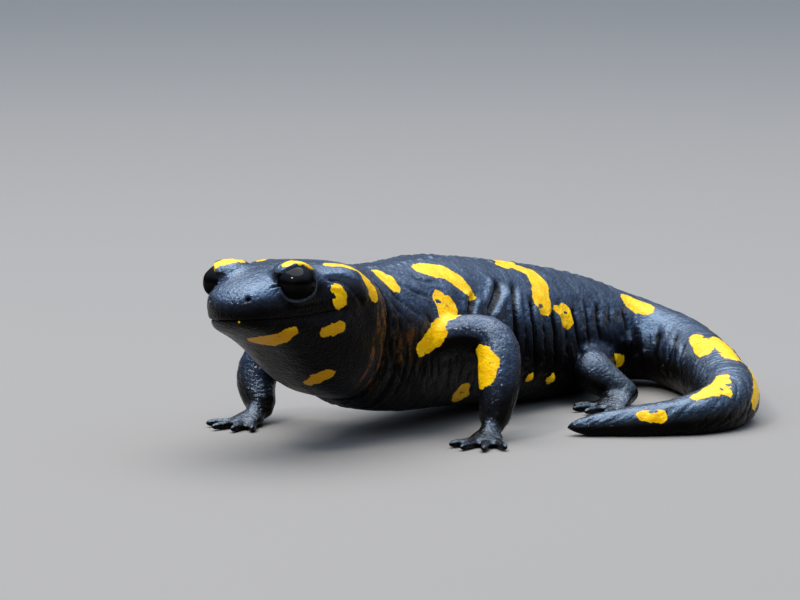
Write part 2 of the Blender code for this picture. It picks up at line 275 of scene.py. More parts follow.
def along_trail(points, kind, places, radii):
    """Each point's distance to the line through some places, the trail's radius where it is
    nearest, and the share of the line's length there."""
    line = np.array([at_place(kind, place) for place in places])
    low, high = line.min(0) - TRAIL_REACH, line.max(0) + TRAIL_REACH
    near = np.flatnonzero(((points > low) & (points < high)).all(1))
    away = np.full(len(points), FAR_OFF)
    radius = np.zeros(len(points))
    share = np.zeros(len(points))
    if len(line) == 1:
        line = np.vstack([line, line + 1e-3])
        radii = (radii[0], radii[0])
    for i in range(len(line) - 1):
        a, b = line[i], line[i + 1]
        t = np.clip(((points[near] - a) @ (b - a)) / ((b - a) @ (b - a)), 0, 1)
        gap = np.linalg.norm(points[near] - a - t[:, None] * (b - a), axis=1)
        r = radii[i] + t * (radii[i + 1] - radii[i])
        nearer = gap - r < away[near] - radius[near]
        chosen = near[nearer]
        away[chosen] = gap[nearer]
        radius[chosen] = r[nearer]
        share[chosen] = (i + t[nearer]) / (len(line) - 1)
    return away, radius, share


HASH_SIZE = 4096
HASH_PRIMES = (73856093, 19349663, 83492791)


def grain(points, size, seed):
    """Smooth noise from -1 to 1 whose features are about size mm across."""
    table = np.random.default_rng(seed).uniform(-1, 1, HASH_SIZE)
    q = points / size
    cell = np.floor(q).astype(np.int64)
    t = q - cell
    t = t * t * (3 - 2 * t)
    total = np.zeros(len(points))
    for corner in range(8):
        step = [corner & 1, corner >> 1 & 1, corner >> 2]
        x, y, z = ((cell[:, k] + step[k]) * HASH_PRIMES[k] for k in range(3))
        key = (x ^ y ^ z) & (HASH_SIZE - 1)
        weight = np.ones(len(points))
        for k in range(3):
            weight = weight * (t[:, k] if step[k] else 1 - t[:, k])
        total += table[key] * weight
    return total


# ---------------------------------------------------------------- the skin's mesh
SWELL = 0.25  # mm the solids swell, so that the skin closes over the gaps between them
VOXEL = 0.26
WELD = 1e-6  # metres within which the solids' corners count as one
LID_THICKNESS = 0.3
CANTHUS = (  # flesh over and behind the eye: back, out, up, radius
    (8.0, 4.8, 5.7, 1.5),
    (10.2, 6.6, 4.8, 2.5),
    (11.1, 6.9, 4.7, 2.1),
    (12.1, 7.1, 4.6, 1.8),
    (13.2, 7.3, 4.5, 1.5),
    (8.6, 5.6, 6.2, 1.9),
    (9.6, 5.7, 6.1, 1.8),
)
WRIST_RADIUS = 1.9
PALM_HEIGHT = 1.0
PALM_REACH = 3.4
PALM_BALLS = 9  # from the wrist to the palm
flesh = [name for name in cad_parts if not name.startswith("eye")]
EYE_SIDES = {"left": 1, "right": -1}


def eye_frame(side):
    """The eye's centre, and its ways back, outwards and up."""
    sign = EYE_SIDES[side]
    back, left, up = EYE_PLACE
    centre = in_head(back, sign * left, up)
    ways = [
        in_head(back + 1, sign * left, up) - centre,
        sign * (in_head(back, sign * left + 1, up) - centre),
        in_head(back, sign * left, up + 1) - centre,
    ]
    return centre, [way / np.linalg.norm(way) for way in ways]


def neighbours(mesh):
    edges = np.empty(len(mesh.edges) * 2, np.int32)
    mesh.edges.foreach_get("vertices", edges)
    a, b = edges.reshape(-1, 2).T
    n = len(mesh.vertices)
    count = np.bincount(a, minlength=n) + np.bincount(b, minlength=n)
    return a, b, np.maximum(count, 1)


def spread(values, links):
    """Each vertex's mean of its neighbours' values."""
    a, b, count = links
    n = len(count)
    total = np.bincount(a, values[b], n) + np.bincount(b, values[a], n)
    return total / count


IN_AND_OUT = (0.6, -0.25)  # steps towards the neighbours' mean: the step back keeps the volume


def diffused(values, links, rounds):
    for _ in range(rounds):
        values = spread(values, links)
    return values


def smoothed(points, links, weight, rounds):
    """Points moved towards their neighbours' mean, by their weights."""
    for _ in range(rounds):
        for step in IN_AND_OUT:
            mean = np.stack([spread(points[:, k], links) for k in range(3)], 1)
            points = points + step * weight[:, None] * (mean - points)
    return points


def vectors(collection, name, n):
    values = np.empty(n * 3, np.float32)
    collection.foreach_get(name, values)
    return values.reshape(-1, 3).astype(float)


def read_points(mesh):
    return vectors(mesh.vertices, "co", len(mesh.vertices)) / MM


def write_points(mesh, points):
    mesh.vertices.foreach_set("co", (points * MM).astype(np.float32).ravel())
    mesh.update()


def above_floor(points):
    points[:, 2] = np.maximum(points[:, 2], 0)
    return points


def normals_of(mesh):
    return vectors(mesh.vertex_normals, "vector", len(mesh.vertices))


def store(mesh, name, values):
    attribute = mesh.attributes.new(name, "FLOAT", "POINT")
    attribute.data.foreach_set("value", values.astype(np.float32))


def add_object(name, data):
    added = bpy.data.objects.new(name, data)
    bpy.context.scene.collection.objects.link(added)
    return added


def add_ball(bm, centre, radius, subdivisions):
    """A ball, with its measures in mm."""
    place = Matrix.Translation(Vector(centre * MM))
    bmesh.ops.create_icosphere(bm, subdivisions=subdivisions, radius=radius * MM, matrix=place)


def largest_piece(bm):
    """Removes all but the largest connected piece."""
    bm.verts.ensure_lookup_table()
    seen = np.zeros(len(bm.verts), bool)
    pieces = []
    for start in bm.verts:
        if seen[start.index]:
            continue
        seen[start.index] = True
        piece, open_verts = [start], [start]
        while open_verts:
            for edge in open_verts.pop().link_edges:
                for v in edge.verts:
                    if not seen[v.index]:
                        seen[v.index] = True
                        piece.append(v)
                        open_verts.append(v)
        pieces.append(piece)
    pieces.sort(key=len)
    for piece in pieces[:-1]:
        bmesh.ops.delete(bm, geom=piece, context="VERTS")


def make_skin():
    """The solids of flesh, lids, wrists and palms in one closed surface."""
    bm = bmesh.new()
    for name in flesh:
        bm.from_mesh(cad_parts[name].data)
    bmesh.ops.remove_doubles(bm, verts=bm.verts, dist=WELD)
    for side, sign in EYE_SIDES.items():
        add_ball(bm, eye_frame(side)[0], EYE_RADII[0] + LID_THICKNESS - SWELL, 4)
        for back, out, up, radius in CANTHUS:
            add_ball(bm, in_head(back, sign * out, up), radius - SWELL, 3)
    for limb in LIMBS:
        wrist = by_limb(limb, *LIMBS[limb][2][-1])
        palm = np.array([*wrist[:2], PALM_HEIGHT]) + toe_way(limb) * PALM_REACH
        for share in np.linspace(0, 1, PALM_BALLS):
            radius = WRIST_RADIUS + (PALM_HEIGHT - WRIST_RADIUS) * share
            add_ball(bm, wrist + share * (palm - wrist), radius, 3)
    bm.normal_update()
    for v in bm.verts:
        v.co += v.normal * SWELL * MM
    mesh = bpy.data.meshes.new("skin")
    bm.to_mesh(mesh)
    bm.free()
    skin = add_object("skin", mesh)
    remesh = skin.modifiers.new("close", "REMESH")
    remesh.mode = "VOXEL"
    remesh.voxel_size = VOXEL * MM
    bpy.context.view_layer.update()
    graph = bpy.context.evaluated_depsgraph_get()
    closed = bpy.data.meshes.new_from_object(skin.evaluated_get(graph))
    skin.modifiers.clear()
    skin.data = closed
    closed.name = "skin"
    bpy.data.meshes.remove(mesh)
    bm = bmesh.new()
    bm.from_mesh(closed)
    largest_piece(bm)
    bm.to_mesh(closed)
    bm.free()
    return skin


def nearest_nodes(points):
    """For each point, the CAD node whose surface is nearest."""
    verts, faces, owner = [], [], []
    for name in flesh:
        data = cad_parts[name].data
        first = len(verts)
        verts += [v.co.copy() / MM for v in data.vertices]
        for polygon in data.polygons:
            faces.append([first + i for i in polygon.vertices])
            owner.append(name)
    tree = BVHTree.FromPolygons(verts, faces)
    return np.array([owner[tree.find_nearest(Vector(p))[2]] for p in points])


def refine(mesh, chosen):
    """Halves the edges of the faces whose vertices are all chosen."""
    bm = bmesh.new()
    bm.from_mesh(mesh)
    bm.verts.ensure_lookup_table()
    edges = {e for f in bm.faces if all(chosen[v.index] for v in f.verts) for e in f.edges}
    bmesh.ops.subdivide_edges(bm, edges=list(edges), cuts=1, use_grid_fill=True)
    bm.to_mesh(mesh)
    bm.free()


# How freely each node's skin is smoothed. The trunk and tail are at 1.
HEAD_FREEDOM, LIMB_FREEDOM, TOE_FREEDOM, LEAST_FREEDOM = 0.9, 0.3, 0.06, 0.05
EYE_REACH = 6.5  # mm from an eye's centre to where its lids end
LIMB_PARTS = [node for parts in LIMB_NODES.values() for node in parts]
freedom = {"head": HEAD_FREEDOM, "lower_jaw": HEAD_FREEDOM}
for node in LIMB_PARTS:
    freedom[node] = TOE_FREEDOM if node.startswith(("hand", "foot")) else LIMB_FREEDOM

skin = make_skin()
mesh = skin.data
points = read_points(mesh)
owner = nearest_nodes(points)
links = neighbours(mesh)
in_limb = np.isin(owner, LIMB_PARTS).astype(float)
soft_limb = diffused(in_limb, links, 24)
joint = 4 * soft_limb * (1 - soft_limb)  # 1 where a limb leaves the body
weight = diffused(np.array([freedom.get(name, 1.0) for name in owner]), links, 10)
weight = np.clip(np.maximum(weight, joint), LEAST_FREEDOM, 1)
for side in EYE_SIDES:
    away = np.linalg.norm(points - eye_frame(side)[0], axis=1)
    weight = np.maximum(weight, HEAD_FREEDOM * smooth((EYE_REACH - away) / 2))
points = smoothed(points, links, np.minimum(1.0, 0.15 + weight), 4)
points = smoothed(points, links, weight, 40)
write_points(mesh, points)
for _ in range(2):  # the swelling goes back in two steps, with the normals of each
    points = read_points(mesh) - normals_of(mesh) * SWELL * 0.5
    write_points(mesh, points)
# On the trunk and tail the skin goes to the true section, without the solids' facets and seams.
TRUE_FROM, TRUE_TO = 27.0, TAIL_TIP - 7.0
s, angle, side_mm, excess = body_place(points)
trunk = (1 - smooth(soft_limb * 4)) * smooth((s - TRUE_FROM) / 4)
trunk = trunk * (1 - smooth((np.abs(excess) - 0.04) / 0.06))
trunk *= smooth((TRUE_TO - s) / 4)
middle = np.column_stack([midline(s), level_at(s)])
on_section = middle + (points - middle) / (1 + excess[:, None])
points = above_floor(points + trunk[:, None] * (on_section - points))
hips = band(s, 84, 104, 4) * (1 - smooth((angle - 150) / 20))
points = smoothed(points, links, np.maximum(weight, hips), 5)
bend = band(s, 100, 150, 5)
points = smoothed(points, links, np.maximum(0.1 * weight, np.maximum(hips, bend)), 24)
write_points(mesh, above_floor(points))

# ---------------------------------------------------------------- folds, glands, nostrils and lids
HEAD_FINE = 27.0  # the head's skin, this far back, has a finer mesh
EYE_FINE = 4.8  # and within this of an eye's centre a finer one again
MOUTH_FINE, MOUTH_END = 0.7, 18.5  # and so has the mouth line, this near and this far back
rise_of = curve(MOUTH_RISE)

s = body_place(points)[0]
refine(mesh, np.isin(owner, ["head", "lower_jaw"]) | ((owner == "neck") & (s < HEAD_FINE)))
points = read_points(mesh)
back, _, up = head_place(points)
near_mouth = np.abs(up - rise_of(back)) < MOUTH_FINE
fine = near_mouth & (body_place(points)[0] < MOUTH_END)
for side in EYE_SIDES:
    fine |= np.linalg.norm(points - eye_frame(side)[0], axis=1) < EYE_FINE
refine(mesh, fine)
points = read_points(mesh)
links = neighbours(mesh)
owner = nearest_nodes(points)
in_limb = diffused(np.isin(owner, LIMB_PARTS).astype(float), links, 16)
s = body_place(points)[0]
soft_head = smooth((28 - s) / 3) * (1 - in_limb)
points = smoothed(points, links, soft_head, 26)
write_points(mesh, points)
normals = normals_of(mesh)
s, angle, side_mm, _ = body_place(points)
back, left, up = head_place(points)
on_head = 1 - smooth((s - 24) / 3)
flank = np.where(np.abs(angle) <= 90, angle, np.sign(angle) * (180 - np.abs(angle)))
is_left = side_mm > 0
on_trunk = (1 - in_limb) * (1 - on_head)
rise = np.zeros(len(points))  # mm that each vertex moves outwards
faces = [tuple(face.vertices) for face in mesh.polygons]
surface = BVHTree.FromPolygons([Vector(p) for p in points], faces)
TRAIL_STEPS = 6  # points on the skin from one place of a line to the next


def on_skin(kind, places):
    """A smooth line on the skin through the places."""
    line = np.array([at_place(kind, place) for place in places])
    fine = np.linspace(0, len(line) - 1, TRAIL_STEPS * (len(line) - 1) + 1)
    curved = np.column_stack([curve(list(enumerate(line[:, k])))(fine) for k in range(3)])
    return [np.array(surface.find_nearest(Vector(p))[0]) for p in curved]


def crease(kind, places, width, depth, ends=0.2, swell=0.3):
    """A furrow along a line through the places, with a low ridge on both sides."""
    line = on_skin(kind, places)
    away, _, share = along_trail(points, "skin", line, [0.0] * len(line))
    fade = smooth(share / ends) * smooth((1 - share) / ends)
    rise[:] -= depth * fade * (hill(away, width) - swell * hill(away - 2.2 * width, width))


def bump(centre, radius, height):
    """A round rise, or a pit where height is negative."""
    low, high = centre - 2.5 * radius, centre + 2.5 * radius
    near = np.flatnonzero(((points > low) & (points < high)).all(1))
    away = np.linalg.norm(points[near] - centre, axis=1)
    rise[near] += height * hill(away, radius)


# The trunk's upright furrows on the left, with a width and a depth; the right has even ones.
LEFT_FURROWS = (
    (((50.8, 38), (50.2, 32), (48.8, 25), (47.8, 18), (47.2, 8)), 0.65, 0.75),
    (((59.4, 50), (58.6, 44), (57.6, 38), (55.8, 31), (54.3, 25), (53.2, 20), (52.0, 8)), 0.7, 1.0),
    (((64.5, 50), (61.5, 36), (60.0, 24), (59.4, 12), (59.2, 0), (59.5, -14)), 0.6, 1.1),
    (((66, 36), (65.2, 28), (64.4, 18), (64.2, 8), (64.3, -3), (64.9, -13), (66, -26)), 0.6, 1.2),
    (((62.2, 26), (61.9, 14), (61.8, 2), (62.0, -14)), 0.4, 0.5),
    (((67.2, 16), (67.1, 8), (67.3, -4), (67.8, -16)), 0.4, 0.5),
    (((71.6, 30), (70.4, 18), (70.3, 8), (70.3, -1), (70.6, -12), (71.2, -26)), 0.6, 1.1),
    (((74.0, 14), (73.7, 4), (73.8, -8), (74.5, -22)), 0.4, 0.5),
    (((78.5, 34), (77.2, 22), (77.1, 12), (77.4, 2), (78.0, -6), (79.0, -20)), 0.6, 0.95),
    (((83.0, 38), (81.6, 22), (81.2, 8), (81.8, -6)), 0.55, 0.55),
    (((87.5, 38), (85.6, 22), (85.4, 10), (86.3, -2)), 0.6, 0.7),
    (((91.5, 40), (90.0, 26), (89.5, 12)), 0.55, 0.3),
)
for places, width, depth in LEFT_FURROWS:
    crease("body", places, width, depth, 0.3)
FIRST_FURROW, FURROW_STEP = 46, 4.7
for k in range(10):
    wander = 0.5 * np.sin(flank * 0.06 + 2.1 * k)
    off = s - (FIRST_FURROW + FURROW_STEP * k) - wander
    deep = band(flank, -38, 38, 20) * np.where(is_left, 0.0, 0.5)
    rise -= on_trunk * deep * (hill(off, 0.6) + 0.3 * hill(off, 1.5))
# Rows of small glands: two along the spine, and a scatter low on the flanks.
rng = np.random.default_rng(7)
for k in range(36):
    for way in (1, -1):
        place = 29 + 1.9 * k + rng.uniform(-0.3, 0.3)
        centre = on_body(place, 90 - way * rng.uniform(8, 12))
        bump(centre, rng.uniform(0.6, 0.8), rng.uniform(0.12, 0.28))
for k in range(150):
    place, lift = rng.uniform(57, 92), rng.uniform(-22, 24)
    if rng.random() < 0.45:
        lift = 180 - lift if lift >= 0 else -180 - lift
    bump(on_body(place, lift), rng.uniform(0.28, 0.5), rng.uniform(0.08, 0.26))
LOW_GLANDS = (  # the larger ones that catch the light: place along the body, angle, radius, height
    (63.7, -25, 0.75, 0.75), (69.8, -26, 0.85, 0.85), (60.8, 4, 0.4, 0.3), (66.6, 6, 0.4, 0.3),
    (65.9, -3, 0.42, 0.35), (62.0, -10, 0.5, 0.4), (66.0, -9, 0.55, 0.45), (68.6, -12, 0.45, 0.35),
    (68.9, -5, 0.4, 0.3), (73.6, 0, 0.45, 0.35), (73.0, -6, 0.4, 0.3), (79.2, -2, 0.4, 0.3),
    (79.0, 5, 0.4, 0.3), (97.5, 4, 0.55, 0.45), (96.6, 3, 0.4, 0.3), (99.5, 10, 0.45, 0.35),
    (93.5, 2, 0.5, 0.35), (106.5, 2, 0.5, 0.4), (114.0, -4, 0.6, 0.5), (117.0, -2, 0.45, 0.35),
    (124.0, 18, 0.4, 0.25), (121.5, 10, 0.4, 0.25),
)
for place, lift, radius, height in LOW_GLANDS:
    bump(on_body(place, lift), radius, height)
# Slanting folds of the neck and shoulder, the fold under the throat, and the fold behind the head.
NECK_FOLDS = (
    ((29.5, 44), (31.5, 30), (34.0, 20), (37.0, 14)),
    ((27.8, 34), (29.5, 20), (32.5, 9), (36.0, 3)),
    ((27.3, 22), (28.8, 10), (31.5, 0), (35.0, -8)),
    ((27.0, 12), (28.2, 0), (30.5, -10), (34.0, -18)),
    ((31.5, 56), (34.5, 46), (37.5, 38), (40.0, 34)),
    ((34.0, 66), (37.5, 60), (41.0, 50), (43.5, 46)),
    ((27.2, -4), (28.6, -18), (31.5, -28), (35.0, -34)),
    ((36.5, 24), (38.0, 10), (37.8, -2)),
)
for fold, places in enumerate(NECK_FOLDS):
    crease("body", places, 0.36, 0.18, 0.3)
    mirrored = [(a + 0.8 * math.sin(fold), 180 - b if b >= 0 else -180 - b) for a, b in places]
    crease("body", mirrored, 0.36, 0.16, 0.3)
around = 0.6 * np.sin(np.radians(angle) * 2)
throat = smooth((-angle + 25) / 30) * smooth((angle + 205) / 30) + smooth((angle - 160) / 15)
throat = np.clip(throat, 0, 1)
rise -= (1 - in_limb) * throat * 0.35 * hill(s - 30.5 - around, 0.45)
behind_head = hill(s - 25.6 - 0.02 * (90 - np.abs(flank)), 0.55) * band(flank, -80, 34, 20)
rise -= (1 - in_limb) * 0.4 * behind_head
THROAT_LINES = ((27.2, 0.12), (28.6, 0.16), (32.6, 0.16), (34.4, 0.1))  # place and depth
for k, (place, deep) in enumerate(THROAT_LINES):
    rise -= (1 - in_limb) * throat * deep * hill(s - place - around * (1 + k % 2), 0.35)
# Folds where the trunk runs into the tail, on the inside of the bend, and rings along the tail.
TAIL_FOLDS = (
    ((101.0, 40), (103.0, 22), (104.0, 6), (104.0, -10)),
    ((107.0, 58), (109.0, 40), (110.0, 20), (110.0, 2), (109.5, -14)),
    ((112.5, 62), (115.0, 44), (116.0, 22), (116.0, 4), (115.5, -12)),
    ((118.0, 56), (120.0, 40), (121.0, 20), (121.0, 4)),
    ((95.0, 40), (97.0, 24), (98.0, 10)),
)
for places in TAIL_FOLDS:
    crease("body", places, 0.55, 0.4, 0.3)
ripple = grain(points, 3.0, 11)
ring = s + 0.9 * ripple
patchy = smooth(0.5 + 1.5 * grain(points, 4.0, 12))
on_tail = on_trunk * smooth((s - 104) / 6) * (1 - smooth((s - 164) / 6))
rise -= on_tail * patchy * 0.09 * hill((ring % 2.6) - 1.3, 0.4)
inside_bend = np.where(is_left, 1, smooth((130 - np.abs(angle)) / 40))
fold = hill(((s + 0.5 * ripple) % 1.6) - 0.8, 0.3)
rise -= on_trunk * band(s, 125, 147, 4) * inside_bend * 0.16 * fold
# Wrinkles across the limbs, on the inside of their joints.
for limb, (_, _, joints) in LIMBS.items():
    length = sum(np.linalg.norm(np.subtract(a, b)) for a, b in zip(joints, joints[1:]))
    away, _, share = along_trail(points, limb, joints, [0.0] * len(joints))
    here = in_limb * (away < 5) * smooth(share / 0.12)
    t = share * length + 1.1 * grain(points, 2.2, 23)
    rise -= here * 0.02 * hill((t % 1.3) - 0.65, 0.3)
    for joint in (2, 4):
        fold = hill(share - joint / 4, 0.09) * hill((t % 1.0) - 0.5, 0.25)
        rise -= here * 0.09 * fold * smooth(2.6 - away)
# The flesh of the bent knees.
bump(by_limb("hindleg_left", 12.0, 15.2, 6.0), 2.8, 1.15)
bump(by_limb("hindleg_left", 11.5, 17.5, 4.6), 2.4, 0.5)
bump(by_limb("hindleg_right", 9.0, 13.5, 6.5), 2.6, 0.6)
# The whole skin: soft unevenness.
high = points[:, 2]
rise += 0.10 * grain(points, 2.6, 3) * on_trunk + 0.045 * grain(points, 1.0, 5) * (1 - on_head)
low_flank = on_trunk * smooth((50 - flank) / 30)
rise += 0.05 * np.abs(grain(points, 0.7, 6)) * low_flank
upright = np.column_stack([(s + 0.06 * flank) / 1.5, high / 3.5, side_mm / 3.5])
cracks = np.clip(1 - 2.5 * np.abs(grain(upright, 1.0, 9)), 0, 1)
rise -= on_trunk * 0.15 * cracks * smooth((70 - np.abs(flank)) / 30)

# The head: the mouth, and then its creases and bumps, which are on both sides.
is_near_head = s < 29
mouth = up - rise_of(back)
corner = 1 - smooth((back - 16.0) / 1.6)
rise -= is_near_head * corner * (0.24 * hill(mouth, 0.14) - 0.05 * hill(mouth - 0.6, 0.4))
rise -= is_near_head * corner * 0.07 * smooth((0.1 - mouth) / 0.3) * smooth((mouth + 2.2) / 1.6)
HEAD_CREASES = (  # (back, out, up) places, width, depth, faded share at the ends, ridge
    (
        ((15.6, 8.9, 0.6), (17.2, 9.4, 0.3), (18.4, 9.6, -0.5), (19.0, 9.7, -1.4)),
        0.26, 0.12, 0.3, 0.3,
    ),
    (
        ((12.8, 8.0, 5.3), (14.5, 8.7, 5.0), (16.2, 9.2, 4.5), (18.2, 9.8, 3.3), (19.8, 10.2, 1.6),
         (20.6, 10.2, 0.0)),
        0.5, 0.48, 0.25, 0.3,
    ),
    (((4.6, 4.9, 4.5), (5.3, 5.2, 4.6), (6.2, 5.6, 4.6), (7.0, 6.0, 4.6)), 0.22, 0.3, 0.3, 0.4),
    (((12.9, 8.2, 4.2), (14.2, 8.7, 4.1), (15.6, 9.2, 3.8)), 0.22, 0.12, 0.3, 0.3),
    (
        ((2.6, 4.6, 2.1), (5.2, 6.2, 1.7), (8.5, 7.4, 1.6), (11.8, 8.4, 1.9), (14.0, 8.8, 2.3)),
        0.24, 0.07, 0.25, 0.5,
    ),
)
HEAD_BUMPS = (  # (back, out, up), radius, height
    ((19.2, 8.6, 5.4), 3.2, 0.5),  # the gland behind the eye
    ((14.8, 9.0, 2.0), 2.2, 0.22),  # cheek
    ((21.4, 10.0, -0.5), 2.6, -0.4),  # hollow behind the jaw
    ((1.35, 3.5, 3.2), 0.75, 0.12),  # round the nostril
    ((1.35, 3.5, 3.2), 0.36, -1.0),  # nostril
)
for places, *shape in HEAD_CREASES:
    for sign in EYE_SIDES.values():
        crease("head", [(b, sign * l, u) for b, l, u in places], *shape)
for sign in EYE_SIDES.values():
    for (b, l, u), radius, height in HEAD_BUMPS:
        bump(in_head(b, sign * l, u), radius, height)
    for k in range(26):
        place = (rng.uniform(16.5, 23.5), sign * rng.uniform(6.5, 9.3), rng.uniform(3.4, 6.6))
        bump(in_head(*place), 0.16, -0.08)
snout = smooth((4.4 - back) / 3.4) * smooth((mouth - 0.1) / 0.5)
rise += is_near_head * snout * 0.035 * grain(points, 0.45, 31)
rise += is_near_head * (0.03 * grain(points, 0.9, 33) + 0.01 * grain(points, 0.4, 34)) * (1 - snout)
crown_lines = np.column_stack([back / 2.4, left / 0.6, up / 0.9])
crown = smooth((mouth - 2.5) / 1.5) * smooth((14 - back) / 4) * smooth((back - 2) / 2)
lines = np.clip(1 - 2.2 * np.abs(grain(crown_lines, 1.0, 36)), 0, 1)
rise -= is_near_head * crown * 0.05 * lines
shaped = points + normals * rise[:, None]

# The lids: the skin dips under the eyeball inside the opening and ends in a thin raised rim.
GAZE_TURN = -36.0  # forward of straight out, in degrees
OPENING = (76.0, 80.0, 56.0)  # forward, backward and half its height, in degrees from the gaze
OPENING_TILT = 8.0
OPENING_SLANT = 0.08  # the front corner is lower than the rear one
CORNER = 1.7  # the power that draws the front corner to a point
RIM = 0.3
LID_DIP, LID_SEAT = 1.0, 0.02  # mm below the eyeball's surface: well inside it, and at the edge
LID_EDGE = 2.4  # mm from the opening within which the skin takes the lid's shape
lower_rim = np.zeros(len(points))  # the lower lid's edge, which is always wet and always gets the painted sky sheen
for side in EYE_SIDES:
    centre, (way_back, way_out, way_up) = eye_frame(side)
    arm = shaped - centre
    far = np.linalg.norm(arm, axis=1)
    near = np.flatnonzero(far < EYE_REACH)
    d = arm[near] / far[near, None]
    tilt = np.degrees(np.arcsin(np.clip(d @ way_up, -1, 1)))
    turned = np.degrees(np.arctan2(d @ way_back, d @ way_out)) - GAZE_TURN
    turned = (turned + 180) % 360 - 180
    ahead = turned < 0
    half = np.where(ahead, OPENING[0], OPENING[1])
    x = np.abs(turned) / half
    y = (tilt - OPENING_TILT - OPENING_SLANT * turned) / OPENING[2]
    power = np.where(ahead, CORNER, 2.0)
    squares = x**power + y * y + 1e-9
    narrowing = np.maximum(np.cos(np.radians(tilt)), 0.35)
    slope = np.hypot(power * x ** (power - 1) / half / narrowing, 2 * y / OPENING[2])
    a, b, c = (d @ way / r for way, r in zip((way_back, way_out, way_up), EYE_RADII))
    globe = 1 / np.sqrt(a**2 + b**2 + c**2)
    edge = (squares - 1) / np.maximum(slope, 1e-4) * math.pi / 180 * globe
    upper = smooth(y * 2)
    edge = np.clip(np.maximum(edge, far[near] - globe - 0.4 - 1.8 * upper), -3, 9)
    crest = RIM + 0.14 * upper
    wall = globe - LID_DIP + smooth((edge + 0.7) / 0.7) * (LID_DIP - LID_SEAT)
    lip = np.sin(np.clip(edge / 0.28, 0, 1) * math.pi / 2)
    lip = globe - LID_SEAT + (crest + LID_SEAT) * lip
    wall = np.where(edge > 0, lip, wall)
    blend = smooth((edge - 0.25) / (0.7 + 1.3 * upper))
    furrow = 0.14 * hill(edge - 0.7, 0.2) * (1 - upper)
    lid = wall + blend * (np.maximum(far[near], globe + 0.1) - wall)
    lid = lid - furrow * (1 - blend * 0.5)
    wet_edge = hill(edge - 0.12, 0.16) * (1 - smooth(y + 0.4))
    lower_rim[near] = np.maximum(lower_rim[near], wet_edge)
    shaped[near] = centre + d * np.where(edge < LID_EDGE, lid, far[near])[:, None]
write_points(mesh, above_floor(shaped))

